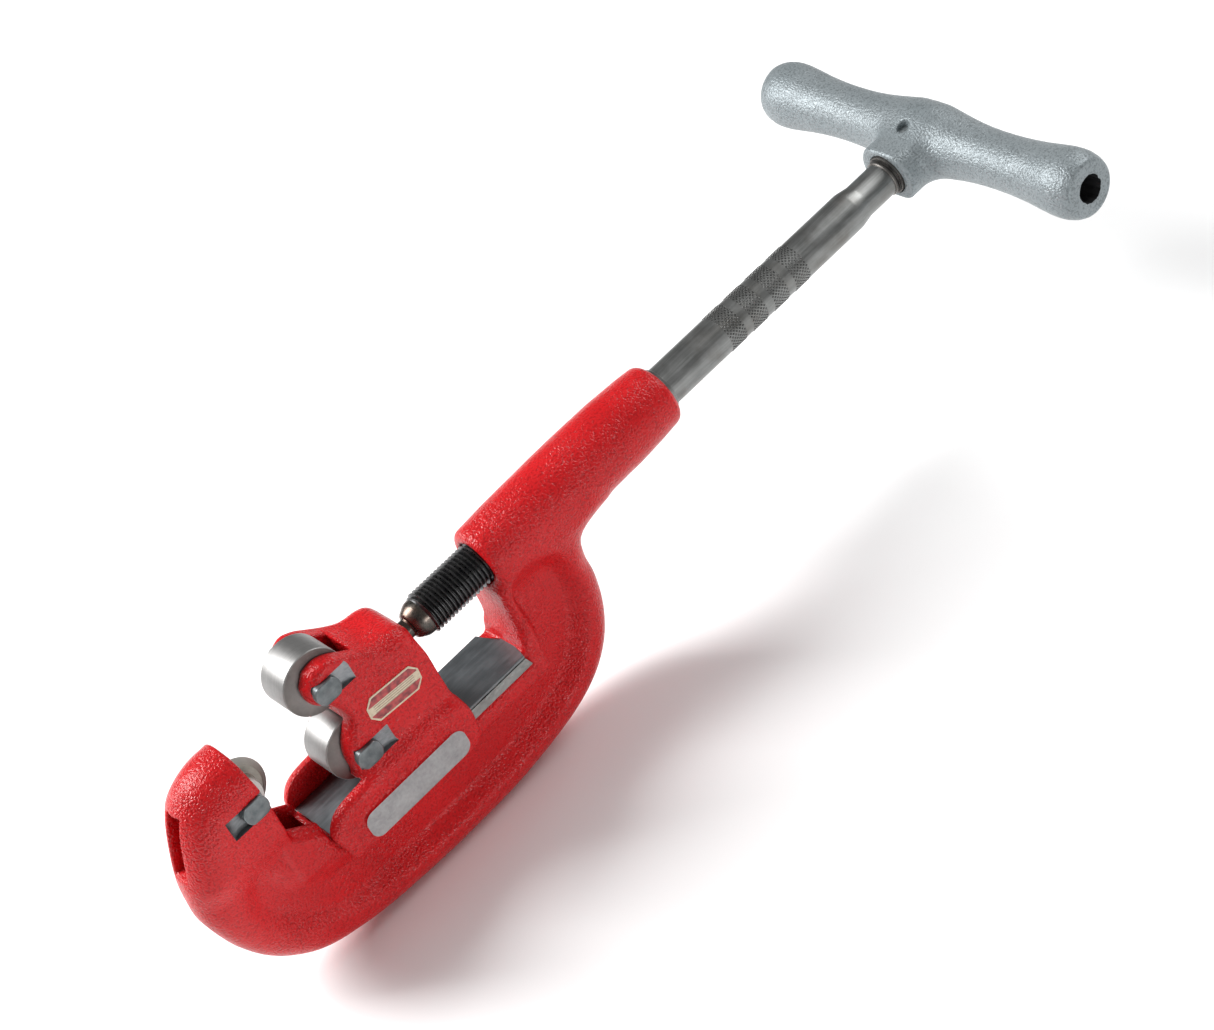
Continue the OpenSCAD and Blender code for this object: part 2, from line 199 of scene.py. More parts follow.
def skin(g, field):
    """Closed quad mesh of the field's zero surface, by surface nets, as (points, quads)."""
    inside = field < 0
    n = np.array(field.shape)
    corners = [(i, j, k) for i in (0, 1) for j in (0, 1) for k in (0, 1)]

    def shifted(array, c):
        return array[c[0]:n[0] - 1 + c[0], c[1]:n[1] - 1 + c[1], c[2]:n[2] - 1 + c[2]]

    filled = sum(shifted(inside, c).astype(np.int8) for c in corners)
    cells = np.argwhere((filled > 0) & (filled < 8))
    index = np.full(n - 1, -1, np.int64)
    index[tuple(cells.T)] = np.arange(len(cells))
    total = np.zeros((len(cells), 3))
    hits = np.zeros(len(cells))
    for a in corners:
        for axis in range(3):
            if a[axis]:
                continue
            b = list(a)
            b[axis] = 1
            va = field[tuple((cells + a).T)]
            vb = field[tuple((cells + b).T)]
            crossed = (va < 0) != (vb < 0)
            t = np.where(crossed, va / np.where(crossed, va - vb, 1), 0)
            place = np.tile(np.array(a, float), (len(cells), 1))
            place[:, axis] = t
            total += place * crossed[:, None]
            hits += crossed
    points = g.low + g.cell * (cells + total / hits[:, None])
    quads = []
    for axis in range(3):
        ahead = [slice(None)] * 3
        ahead[axis] = slice(1, None)
        behind = [slice(None)] * 3
        behind[axis] = slice(None, -1)
        change = inside[tuple(ahead)] != inside[tuple(behind)]
        edges = np.argwhere(change)
        u, v = (axis + 1) % 3, (axis + 2) % 3
        edges = edges[(edges[:, u] > 0) & (edges[:, v] > 0)]
        steps = np.zeros((4, 3), int)
        steps[1, u] = steps[2, u] = steps[2, v] = steps[3, v] = -1
        ring = np.stack([index[tuple((edges + s).T)] for s in steps], 1)
        outward = inside[tuple(edges.T)]
        ring[~outward] = ring[~outward][:, ::-1]
        quads.append(ring)
    return points, np.concatenate(quads)


def settle(g, field, points, rounds=2):
    """Moves points onto the field's zero surface along its slope."""
    slope = np.gradient(field, g.cell)
    top = np.array(field.shape) - 2
    for _ in range(rounds):
        at = (points - g.low) / g.cell
        base = np.clip(at.astype(int), 0, top)
        part = at - base

        def sample(array):
            value = 0
            for c in np.ndindex(2, 2, 2):
                share = np.prod(np.where(c, part, 1 - part), axis=1)
                value = value + share * array[tuple((base + c).T)]
            return value

        height = sample(field)
        normal = np.stack([sample(s) for s in slope], 1)
        size = np.maximum((normal ** 2).sum(1), 0.25)
        points = points - np.clip(height / size, -0.5, 0.5)[:, None] * normal
    return points


# ------------------------------------------------------------------- meshes

def to_row(points):
    """Tool millimetres to row-frame metres."""
    return np.asarray(points, float) * MM + np.array(WHEEL)


def mesh_piece(name, points, faces, material, crease=35):
    """A mesh object from tool-millimetre points, smooth except at creases."""
    mesh = bpy.data.meshes.new(name)
    mesh.from_pydata(to_row(points).tolist(), [], [list(map(int, f)) for f in faces])
    mesh.validate()
    mesh.shade_smooth()
    if crease:
        mesh.set_sharp_from_angle(angle=math.radians(crease))
    piece = bpy.data.objects.new(name, mesh)
    bpy.context.scene.collection.objects.link(piece)
    mesh.materials.append(material)
    return piece


def cast_piece(name, g, field, material):
    """The mesh of a casting from its field."""
    points, quads = skin(g, field)
    return mesh_piece(name, settle(g, field, points), quads, material, crease=0)


def face_out(mesh, weld=0):
    """Makes every face look outwards, after welding points nearer than weld metres."""
    shape = bmesh.new()
    shape.from_mesh(mesh)
    if weld:
        bmesh.ops.remove_doubles(shape, verts=shape.verts, dist=weld)
    bmesh.ops.recalc_face_normals(shape, faces=shape.faces)
    shape.to_mesh(mesh)
    shape.free()


def prism_faces(n):
    """Faces of a closed prism with n points at each end."""
    ends = [list(range(n))[::-1], list(range(n, 2 * n))]
    return ends + [[i, (i + 1) % n, n + (i + 1) % n, n + i] for i in range(n)]


def ring_faces(rows, columns, capped):
    """Quads between rings of points, with a face on each end ring if capped."""
    faces = []
    for i in range(rows - 1):
        here, above = i * columns, (i + 1) * columns
        for j in range(columns):
            k = (j + 1) % columns
            faces.append([here + j, here + k, above + k, above + j])
    if capped:
        faces += [list(range(columns)), list(range((rows - 1) * columns, rows * columns))[::-1]]
    return faces


def prism(name, outline, low, high, axis, material):
    """A closed prism: outline in the two other axes, in their order, between low and high."""
    n = len(outline)
    points = np.zeros((2 * n, 3))
    others = [a for a in range(3) if a != axis]
    points[:, others] = np.tile(np.array(outline, float), (2, 1))
    points[:n, axis] = low
    points[n:, axis] = high
    piece = mesh_piece(name, points, prism_faces(n), material)
    face_out(piece.data)
    return piece


def machined(piece, cutters, crease=35):
    """Cuts the cutters out of the piece; the cut faces take the cutters' material."""
    for cutter in cutters:
        step = piece.modifiers.new("cut", "BOOLEAN")
        step.operation = "DIFFERENCE"
        step.solver = "MANIFOLD"
        step.object = cutter
        for material in cutter.data.materials:
            if material.name not in piece.data.materials:
                piece.data.materials.append(material)
    bpy.context.view_layer.update()
    shaped = piece.evaluated_get(bpy.context.evaluated_depsgraph_get())
    mesh = bpy.data.meshes.new_from_object(shaped)
    piece.modifiers.clear()
    piece.data = mesh
    mesh.set_sharp_from_angle(angle=math.radians(crease))
    for cutter in cutters:
        bpy.data.objects.remove(cutter)
    return piece


def turned(name, profile, material, segments=120, axis="X", centre=(0, 0, 0), crease=28):
    """A closed turned piece from (distance along the axis, radius) pairs."""
    angles = 2 * math.pi * np.arange(segments) / segments
    rows = [np.stack([np.full(segments, along), radius * np.cos(angles), radius * np.sin(angles)], 1)
            for along, radius in profile]
    points = np.concatenate(rows)
    if axis == "Y":
        points = points[:, [1, 0, 2]]
    points = points + np.array(centre)
    hollow = np.allclose(profile[0], profile[-1])
    faces = ring_faces(len(rows), segments, capped=not hollow)
    piece = mesh_piece(name, points, faces, material, crease=0)
    face_out(piece.data, weld=1e-7)
    piece.data.set_sharp_from_angle(angle=math.radians(crease))
    return piece


# ---------------------------------------------------------------- materials

class Shader:
    """A procedural material round one Principled shader."""

    def __init__(self, name):
        self.material = bpy.data.materials.new(name)
        self.material.use_nodes = True
        self.tree = self.material.node_tree
        self.main = self.tree.nodes["Principled BSDF"]
        self.place = self.add("ShaderNodeTexCoord").outputs["Object"]

    def add(self, kind, settings=None, **inputs):
        node = self.tree.nodes.new(kind)
        for key, value in (settings or {}).items():
            setattr(node, key, value)
        for key, value in inputs.items():
            self.feed(node.inputs[key.replace("_", " ")], value)
        return node

    def feed(self, socket, value):
        if isinstance(value, bpy.types.NodeSocket):
            self.tree.links.new(value, socket)
        else:
            socket.default_value = value

    def set(self, **inputs):
        for key, value in inputs.items():
            self.feed(self.main.inputs[key.replace("_", " ")], value)

    def noise(self, size_mm, detail=2, place=None, distortion=0.0, roughness=0.5):
        """Noise whose features are about size_mm across, 0 to 1."""
        node = self.add("ShaderNodeTexNoise", Scale=1 / (size_mm * MM), Detail=detail,
                        Distortion=distortion, Roughness=roughness)
        self.feed(node.inputs["Vector"], place or self.place)
        return node.outputs["Fac"]

    def stretched(self, scale):
        node = self.add("ShaderNodeMapping", Vector=self.place)
        node.inputs["Scale"].default_value = scale
        return node.outputs["Vector"]

    def ramp(self, value, stops):
        """A colour for each value: stops are (position, colour or grey)."""
        node = self.add("ShaderNodeValToRGB", Fac=value)
        line = node.color_ramp
        while len(line.elements) < len(stops):
            line.elements.new(0.5)
        for element, (position, colour) in zip(line.elements, stops):
            element.position = position
            grey = isinstance(colour, (int, float))
            element.color = (colour, colour, colour, 1) if grey else (*colour, 1)
        return node.outputs["Color"]

    def mix(self, factor, a, b, how="MIX"):
        node = self.add("ShaderNodeMix", {"data_type": "RGBA", "blend_type": how})
        self.feed(node.inputs[0], factor)
        for socket, value in ((node.inputs[6], a), (node.inputs[7], b)):
            self.feed(socket, (*value, 1) if isinstance(value, tuple) else value)
        return node.outputs[2]

    def math(self, how, a, b=0.0, c=0.0):
        node = self.add("ShaderNodeMath", {"operation": how})
        for socket, value in zip(node.inputs, (a, b, c)):
            self.feed(socket, value)
        return node.outputs[0]

    def bump(self, height, depth_mm, strength=1.0, under=None):
        """A normal raised by height, over the normal given as under."""
        node = self.add("ShaderNodeBump", Height=height, Distance=depth_mm * MM, Strength=strength)
        if under is not None:
            self.feed(node.inputs["Normal"], under)
        return node.outputs["Normal"]

    def edges(self, low, high):
        """0 on flats, 1 on outer edges."""
        point = self.add("ShaderNodeNewGeometry").outputs["Pointiness"]
        node = self.add("ShaderNodeMapRange", Value=point)
        node.inputs["From Min"].default_value = low
        node.inputs["From Max"].default_value = high
        return node.outputs["Result"]


def red_enamel():
    """Glossy enamel over the casting's fine grain, with painted shade in the grain's hollows and a painted
    highlight on outer edges.
    """
    s = Shader("red_enamel")
    patches = s.noise(26, 3)
    grain = s.noise(1.05, 1)
    pebble = s.noise(2.6, 2)
    colour = s.ramp(patches, [(0.3, (0.52, 0.0050, 0.0075)), (0.7, (0.60, 0.0070, 0.0100))])
    # Painted shade: where the grain sinks in the bump below, the red is mixed toward dark red.
    colour = s.mix(s.ramp(grain, [(0.34, 0.55), (0.50, 0.0)]), colour, (0.28, 0.0020, 0.004))
    # Painted highlight: outer edges, found by pointiness, are mixed toward a lighter red.
    colour = s.mix(s.math("MULTIPLY", s.edges(0.56, 0.64), 0.3), colour, (0.75, 0.03, 0.035))
    amount = s.ramp(s.noise(30, 2), [(0.42, 0.45), (0.60, 1.0)])
    rough = s.ramp(s.noise(8, 3), [(0.3, 0.40), (0.7, 0.50)])
    fine = s.bump(s.mix(1.0, grain, amount, "MULTIPLY"), 0.85, 1.0, under=s.bump(pebble, 0.25, 0.7))
    s.set(Base_Color=colour, Roughness=rough, Specular_IOR_Level=0.12, Coat_Weight=0.42,
          Coat_Roughness=0.15, Normal=fine, Coat_Normal=fine)
    return s.material


def bare_steel(name, dark, light, rough, streak=(1, 1, 1), grain_mm=0.7, depth=0.02, stain=None):
    """Machined steel: streaks along the cut, cloudy colour and roughness."""
    s = Shader(name)
    lines = s.noise(grain_mm, 4, s.stretched(streak))
    clouds = s.noise(9, 3)
    tones = [(0.3, dark), (0.7, light)]
    colour = s.mix(0.5, s.ramp(lines, tones), s.ramp(clouds, tones))
    if stain:
        colour = s.mix(s.ramp(s.noise(14, 4), [(0.5, 0.0), (0.72, 0.65)]), colour, stain)
    rubbed = tuple(min(c * 1.5, 0.9) for c in light)
    colour = s.mix(s.math("MULTIPLY", s.edges(0.52, 0.6), 0.5), colour, rubbed)
    spread = s.ramp(s.mix(0.5, lines, clouds), [(0.25, rough - 0.07), (0.75, rough + 0.09)])
    s.set(Base_Color=colour, Metallic=1.0, Roughness=spread, Normal=s.bump(lines, depth, 0.8))
    return s.material


def roller_steel(name, side, face, rough):
    """Turned side with fine rings, and end faces of another tone."""
    s = Shader(name)
    rings = s.noise(0.5, 3, s.stretched((0.02, 1, 0.02)))
    arcs = s.noise(1.4, 3)
    facing = s.add("ShaderNodeTexCoord").outputs["Normal"]
    sideways = s.math("ABSOLUTE", s.add("ShaderNodeSeparateXYZ", Vector=facing).outputs["Y"])
    flat = s.math("SMOOTH_MIN", s.math("POWER", sideways, 6.0), 1.0, 0.1)
    clouds = s.noise(6, 4)
    bright = s.ramp(rings, [(0.3, tuple(c * 0.86 for c in side)), (0.7, side)])
    dull = s.ramp(clouds, [(0.35, tuple(c * 0.62 for c in face)), (0.7, face)])
    colour = s.mix(flat, bright, dull)
    colour = s.mix(s.math("MULTIPLY", s.edges(0.52, 0.58), 0.6), colour, (0.8, 0.79, 0.77))
    turned_rough = s.ramp(arcs, [(0.3, rough), (0.7, rough + 0.08)])
    spread = s.math("ADD", s.math("MULTIPLY", flat, 0.16), turned_rough)
    s.set(Base_Color=colour, Metallic=0.95, Roughness=spread, Normal=s.bump(rings, 0.012, 0.7))
    return s.material


def dark_steel(name, dark, light, rough=0.45, metallic=0.85, brown=None):
    """Phosphated or oxided steel with rubbed edges."""
    s = Shader(name)
    clouds = s.noise(3.5, 4)
    colour = s.ramp(clouds, [(0.32, dark), (0.68, light)])
    if brown:
        colour = s.mix(s.ramp(s.noise(7, 3), [(0.45, 0.0), (0.65, 0.8)]), colour, brown)
    rubbed = tuple(min(1, c * 3.2) for c in light)
    colour = s.mix(s.math("MULTIPLY", s.edges(0.52, 0.62), 0.75), colour, rubbed)
    spread = s.ramp(s.noise(1.2, 3), [(0.3, rough - 0.08), (0.7, rough + 0.1)])
    s.set(Base_Color=colour, Metallic=metallic, Roughness=spread, Normal=s.bump(s.noise(0.6, 3), 0.03, 0.6))
    return s.material


def silver_paint():
    """Silver paint over a fine cast grain, with painted shade in the grain's hollows and a painted highlight
    on outer edges.
    """
    s = Shader("silver_paint")
    grain = s.noise(0.95, 1)
    pebble = s.noise(2.4, 2)
    colour = s.ramp(s.noise(18, 3), [(0.3, (0.24, 0.275, 0.29)), (0.7, (0.28, 0.315, 0.33))])
    # Painted shade: where the grain sinks in the bump below, the silver is mixed toward a dark grey.
    colour = s.mix(s.ramp(grain, [(0.34, 0.6), (0.50, 0.0)]), colour, (0.11, 0.125, 0.13))
    # Painted highlight: outer edges, found by pointiness, are mixed toward a lighter silver.
    colour = s.mix(s.math("MULTIPLY", s.edges(0.56, 0.64), 0.4), colour, (0.50, 0.53, 0.55))
    s.set(Base_Color=colour, Metallic=0.35, Roughness=s.ramp(s.noise(4, 3), [(0.3, 0.40), (0.7, 0.50)]),
          Normal=s.bump(grain, 0.40, 1.0, under=s.bump(pebble, 0.14, 0.7)))
    return s.material


def label_foil(centre):
    """Cream foil with a plain border, mottled red end bands and thin rules, in the label's own axes."""
    s = Shader("label_foil")
    rules_half, rules_end = 2.1, 10.8
    field_half, field_end, field_corner = 5.8, 7.3, 15.8
    rule_pitch = 1.1
    shift = s.add("ShaderNodeVectorMath", {"operation": "SUBTRACT"})
    s.feed(shift.inputs[0], s.place)
    shift.inputs[1].default_value = centre
    level = s.add("ShaderNodeVectorRotate", {"rotation_type": "Y_AXIS"}, Vector=shift.outputs[0])
    level.inputs["Angle"].default_value = LABEL_TILT
    parts = s.add("ShaderNodeSeparateXYZ", Vector=level.outputs[0])
    height = s.math("DIVIDE", parts.outputs["Z"], MM)
    along = s.math("ABSOLUTE", s.math("DIVIDE", parts.outputs["X"], MM))
    up = s.math("ABSOLUTE", height)
    wear = s.noise(1.6, 3)
    wave = s.math("SINE", s.math("MULTIPLY", height, 2 * math.pi / rule_pitch))
    rule = s.math("GREATER_THAN", wave, 0.45)
    inner = s.math("LESS_THAN", s.math("MAXIMUM", up, s.math("SUBTRACT", along, field_end)), field_half)
    corner = s.math("LESS_THAN", s.math("ADD", up, along), field_corner)
    field = s.math("MULTIPLY", inner, corner)
    band = s.math("MULTIPLY", s.math("GREATER_THAN", up, rules_half), field)
    thin_rule = s.math("MULTIPLY", s.math("MULTIPLY", rule, s.math("LESS_THAN", up, rules_half)),
                       s.math("LESS_THAN", along, rules_end))
    cream = s.ramp(wear, [(0.3, (0.52, 0.42, 0.29)), (0.7, (0.68, 0.58, 0.43))])
    red = s.ramp(s.noise(2.4, 3), [(0.35, (0.16, 0.02, 0.025)), (0.65, (0.48, 0.06, 0.06))])
    colour = s.mix(s.math("MULTIPLY", thin_rule, 0.6), s.mix(band, cream, red), (0.10, 0.05, 0.04))
    s.set(Base_Color=colour, Roughness=s.ramp(wear, [(0.3, 0.35), (0.7, 0.55)]), Coat_Weight=0.2,
          Normal=s.bump(wear, 0.03, 0.5))
    return s.material


def floor_paint():
    """Plain pale paint."""
    s = Shader("studio_floor")
    pale = s.ramp(s.noise(900, 2), [(0.3, 0.93), (0.7, 0.95)])
    s.set(Base_Color=pale, Roughness=0.7, Specular_IOR_Level=0.2)
    return s.material


RED = red_enamel()
MILLED = bare_steel("milled_steel", (0.16, 0.17, 0.18), (0.34, 0.35, 0.36), 0.42,
                    (0.25, 1, 1), 0.8, 0.05)
GROUND = bare_steel("ground_way", (0.085, 0.093, 0.10), (0.20, 0.213, 0.223), 0.36,
                    (0.12, 1, 1), 1.2, 0.01)
STRIP = bare_steel("rough_milled_strip", (0.02, 0.024, 0.024), (0.30, 0.31, 0.30), 0.46,
                   (1, 1, 1), 2.0, 0.45)
PAD = bare_steel("ground_pad", (0.20, 0.20, 0.205), (0.42, 0.42, 0.42), 0.50,
                 (1, 1, 1), 1.3, 0.10)
ROLLER = roller_steel("roller_steel", (0.29, 0.285, 0.28), (0.15, 0.132, 0.122), 0.42)
WHEEL_STEEL = roller_steel("wheel_steel", (0.42, 0.40, 0.36), (0.36, 0.34, 0.30), 0.38)
PIN = dark_steel("phosphate_steel", (0.11, 0.125, 0.13), (0.19, 0.205, 0.21))
SPRING = dark_steel("spring_steel", (0.05, 0.05, 0.05), (0.11, 0.11, 0.11), 0.35)
OXIDE = dark_steel("black_oxide_thread", (0.030, 0.030, 0.032), (0.075, 0.075, 0.075), 0.30, 0.95)
NOSE = dark_steel("oxide_nose", (0.06, 0.055, 0.05), (0.12, 0.11, 0.10), 0.28, 0.95,
                  (0.13, 0.085, 0.065))
ROD = bare_steel("drawn_rod", (0.19, 0.195, 0.19), (0.31, 0.315, 0.31), 0.38,
                 (0.05, 1, 1), 0.8, 0.012, (0.15, 0.14, 0.125))
KNURL = dark_steel("knurled_steel", (0.018, 0.018, 0.018), (0.075, 0.075, 0.073), 0.27, 0.95)
COLLAR = dark_steel("brown_collar", (0.045, 0.042, 0.040), (0.10, 0.094, 0.088), 0.42, 0.9)
BUSH = bare_steel("bush_steel", (0.10, 0.10, 0.098), (0.26, 0.26, 0.255), 0.34)
SILVER = silver_paint()
# Near-black walls for the handle's cored holes: painted shade.
CORE_SHADE = dark_steel("cored_hole_shade", (0.010, 0.010, 0.011), (0.022, 0.022, 0.024), 0.7, 0.2)
LABEL = label_foil(middle("side_label"))


# -------------------------------------------------------------------- frame

BACK_LINE = smooth([
    (3, 23.6), (-6.8, 23.4), (-16.3, 20.6), (-23.5, 16.1), (-28.5, 9.3), (-33, 0), (-38.2, -14),
    (-41.6, -29), (-41, -43), (-35.4, -61.5), (-26, -77), (-11.5, -89.5), (8, -96.6), (32, -100.3),
    (56, -101.8), (78, -102.2), (100, -101.5), (122, -98.9), (143, -94.2), (160, -86.4),
    (172, -75), (179.5, -60), (183, -44), (183, -31), (187, -20), (201, -12)])
HOOK_FACE = smooth([
    (14, -43.5), (8.5, -37.5), (5.4, -28), (5.6, -14), (6.2, 0), (5.8, 12), (5.3, 23)], 3)
VALLEY = smooth([
    (-22, -32), (-25, -44), (-20, -58), (-9, -71), (8, -80), (30, -85.5), (60, -88), (95, -88),
    (126, -84.5), (148, -76), (162, -62), (169, -45), (171, -31), (169, -18), (161, -8.5), (151, -6.5),
    (144.5, -10), (141.5, -16), (141.3, -25), (142.3, -36), (141, -47), (137, -55.5), (126, -57),
    (90, -57), (50, -57), (26, -56.5), (8, -53),
    (-3, -45), (-8, -34), (-15, -29)], closed=True)
BARREL_X = [140.5, 144, 160, 176, 200, 212, 224, 232, 240, 248, 252]
BARREL_R = [15.2, 15.5, 16.5, 16.9, 17.35, 17.4, 17.2, 16.8, 16.3, 15.6, 15.2]


def frame_field(g):
    """The frame casting: hook, spine, arm and barrel, with their hollows."""
    spine_half, cheek_more = 14, 3
    ledge_half, shoulder_half, ridge_half = 16.0, 15.6, 14.6
    tapped_r, bush_seat_r = 10.25, 12.1
    across = np.abs(g.y)
    back = g.outline(BACK_LINE + [(204, 60), (30, 60), (20, 23.6)])
    front = g.outline(
        [(204, -5), (150, -8), (138.5, -12), (137, -18), (136.6, -29), (135.8, -34), (WAY_END, -38),
         (WAY_END, WAY_Z - 0.7), (WAY_START, WAY_Z - 0.7), (WAY_START - 1, -44.5)]
        + HOOK_FACE + [(5.3, 60), (-80, 60), (-80, -140), (260, -140), (260, -5)])
    valley = g.outline(VALLEY)
    cheek = ease(-31, -18, g.z) * ease(30, 12, g.x)
    deep = 2.4 + 4.2 * ease(0, 45, g.x)
    crisp = ease(158, 149, g.x) * ease(100, 125, g.x) * ease(-64, -52, g.z)
    half = spine_half + cheek_more * cheek - deep * ease(3 - 2.2 * crisp, -7 + 3.5 * crisp, valley)
    body = meet(back, across - half, 11 + 6 * ease(-55, -5, g.z) * ease(35, 5, g.x))
    body = meet(body, front, 1.2 + 3.4 * ease(130, 140, g.x) * ease(-41, -33, g.z))
    # The ledge under the way, the shoulder at its end, and the ridges beside the wheel slot
    ledge = meet(across - ledge_half, span(g.x, WAY_START + 3, 140), 2.5)
    body = join(body, meet(ledge, span(g.z, -58, -50.2), 1.5), 2.2)
    shoulder = g.outline([
        (WAY_END - 1, -50), (WAY_END - 0.5, -42.5), (WAY_END + 3, -35), (WAY_END + 5.5, -31),
        (141, -36), (140.5, -56), (WAY_END, -57)])
    body = join(body, meet(shoulder, across - shoulder_half, 2.0), 2.5)
    ridge_top = np.interp(g.x, [0, 6, 12, 18.5], [-20, -24.5, -29, -33.5])
    ridge = np.maximum(span(g.x, 0, 18.6), np.maximum(-50 - g.z, g.z - ridge_top))
    ridge = meet(ridge, 0.55 * (g.z - ridge_top) + 0.83 * (across - 10.4), 0.8)
    body = join(body, meet(ridge, across - ridge_half, 0.8), 2.0)
    outer = np.interp(g.x, BARREL_X, BARREL_R)
    body = join(body, meet(round_x(g, outer), span(g.x, BARREL_START, BARREL_END), 3.4), 9)
    body = body + 0.07 * g.waves(14, 3)
    # The wheel's slot and its window, the pin's hole, the tapped bore and the bush's seat
    slot = round_y(g, 0, 0, WHEEL_R + 1.8)
    for x, z in (((-8, 16), (-48, 0)), ((-8, 40), (-37, 0)), ((0, 40), (-16, 18.2))):
        slot = np.minimum(slot, block(g, x, ANY_Y, z))
    body = cut(body, np.maximum(slot, across - SLOT_HALF), 0.8)
    window = np.maximum(span(g.z, -14, 13), across - 4.6)
    body = cut(body, np.maximum(window, span(g.x, -60, 0)), 1.0)
    body = cut(body, round_y(g, 0, 0, PIN_HOLE_R), 0.3)
    tapped = span(g.x, 100, BARREL_END - BUSH_DEEP + 0.5)
    body = cut(body, np.maximum(round_x(g, tapped_r), tapped), 0.5)
    bush_seat = span(g.x, BARREL_END - BUSH_DEEP, 300)
    body = cut(body, np.maximum(round_x(g, bush_seat_r), bush_seat), 0.9)
    return body


def make_frame():
    g = Grid((-45, -20.5, -105), (255, 20.5, 38), 0.9)
    piece = cast_piece("frame_casting", g, frame_field(g), RED)
    near = [(-16, -40), (-14.2, -17.6), (-12.6, -15.6), (-9.5, -14.4), (20, -14.4), (20, -40)]
    far = [(-7, 40), (-7, 16.4), (20, 16.4), (20, 40)]
    seat = prism("seat", near, -5.15, 5.15, 2, MILLED)
    far_seat = prism("far_seat", far, -7.5, 7.5, 2, MILLED)
    machined(piece, [seat, far_seat])
    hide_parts("frame")
    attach(piece, "frame")


def make_way():
    """The ground way: crowned top, undercut and rough milled side strips."""
    half = WAY_HALF
    top = [-half + 0.35 + (2 * half - 0.7) * i / 12 for i in range(13)]
    outline = [(y, WAY_Z - 0.45 * (y / half) ** 2) for y in top]
    side = [(half, WAY_Z - 0.75), (half, WAY_Z - 1.5), (half - 0.45, WAY_Z - 1.6),
            (half - 0.45, WAY_Z - 2.35), (half, WAY_Z - 2.45), (half, -49.4),
            (half - 0.3, -49.7), (half - 3, -49.9)]
    outline += side + [(-y, z) for y, z in reversed(side)]
    n = len(outline)

    def end_x(y, z):
        """Where the way ends: a slanted, broken edge on top, square below."""
        if z > STRIP_Z:
            return float(np.interp(y, [-half, -0.5, 3.5, half], [131.8, 134.7, 131.6, 128.3]))
        return 132.2 - 0.35 * (z + 45)

    points = [(WAY_START + 0.3, y, z) for y, z in outline] + [(end_x(y, z), y, z) for y, z in outline]
    piece = mesh_piece("machined_way", points, prism_faces(n), GROUND, crease=25)
    face_out(piece.data)
    piece.data.materials.append(STRIP)
    for polygon in piece.data.polygons:
        low = min(piece.data.vertices[v].co.z for v in polygon.vertices)
        if tool((0, 0, low)).z < STRIP_Z:
            polygon.material_index = 1
    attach(piece, "frame")


# -------------------------------------------------------------------- slide

BODY_LINE = smooth([
    (44.0, 25), (43.5, 19), (45.4, 13.8), (49.6, 9.8), (52.8, 3.5), (53.6, -1.5), (51, -5), (46.6, -10.6),
    (44.2, -16.5), (43.6, -23), (44.2, -31)], 3) + [
    (44, -44), (95.8, -44), (95.8, 5)] + smooth([
    (95.6, 9.5), (93.2, 13.8), (88.5, 16), (80, 17.4), (73, 20.2), (67, 24.2),
    (61.5, 28.4), (55, 30.8), (48.5, 29.9)], 3)
SKIRT_LINE = smooth([
    (21.2, -56), (19.6, -46), (18.8, -39.5), (21.2, -34.8), (25.6, -31.2), (32, -29.6),
    (46, -28.6)], 3) + [(74, -28.4), (92, -30)] + smooth([
    (96, -33), (97.6, -38), (97.9, -44), (97, -52), (93.5, -56.6), (88, -57.4)], 3) + [(30, -57.4)]


def slide_field(g):
    """The slide casting: roller bosses above, skirts astride the way below."""
    body_half, skirt_half, pad_half = 17.4, 21.4, 23.6
    channel_half = 15.6
    pad_x, pad_z = 60.7, -46.3
    across = np.abs(g.y)
    crown = 5.2 * ease(66, 84, g.x) * ease(-4, 8, g.z)
    body = meet(g.outline(BODY_LINE), across - body_half, 2.4 + 4.8 * ease(58, 46, g.x) + crown)
    body = join(body, meet(g.outline(SKIRT_LINE), across - skirt_half, 4.2), 6)
    body = body + 0.06 * g.waves(12, 7)
    pad = meet(span(g.x, pad_x - 28.4, pad_x + 28.4), span(g.z, pad_z - 7, pad_z + 7), 5.2)
    body = join(body, np.maximum(pad, across - pad_half), 1.6)
    # The channel that rides on the way, wider below it
    channel = np.minimum(np.maximum(across - channel_half, g.z - (WAY_Z + 0.3)),
                         np.maximum(across - channel_half - 1.2, g.z + 48.8))
    body = cut(body, channel, 0.6)
    # Room for the rollers, and for the hook between the skirts when the jaw closes
    room = np.minimum(round_y(g, JAW, RISE, ROLLER_R + 1.5), round_y(g, JAW, -RISE, ROLLER_R + 1.5))
    openings = (((JAW, 71), (11, 45)), ((-9, JAW), (3, 45)), ((-9, JAW), (-52, -3)), ((-9, 48.5), (-40, 20)))
    for x, z in openings:
        room = np.minimum(room, block(g, x, ANY_Y, z))
    body = cut(body, np.maximum(room, across - SLOT_HALF), 1.0)
    between_skirts = (-channel_half, channel_half)
    throat = np.minimum(block(g, (-9, 42), between_skirts, (-44, -14)),
                        block(g, (-9, 46.4), between_skirts, (-44, -28.5)))
    body = cut(body, throat, 0.8)
    for z in (RISE, -RISE):
        body = cut(body, round_y(g, JAW, z, PIN_HOLE_R), 0.3)
    # The neck's hole, the chamber for its washer and ring, and the thrust disc's seat
    body = cut(body, np.maximum(round_x(g, 4.9), span(g.x, 85, 110)), 0.5)
    body = cut(body, block(g, (76, 86), (-9.5, 9.5), (-50, 9.5)), 0.5)
    body = cut(body, np.maximum(round_x(g, 8.1), span(g.x, 71.5, 78)), 0.3)
    return body


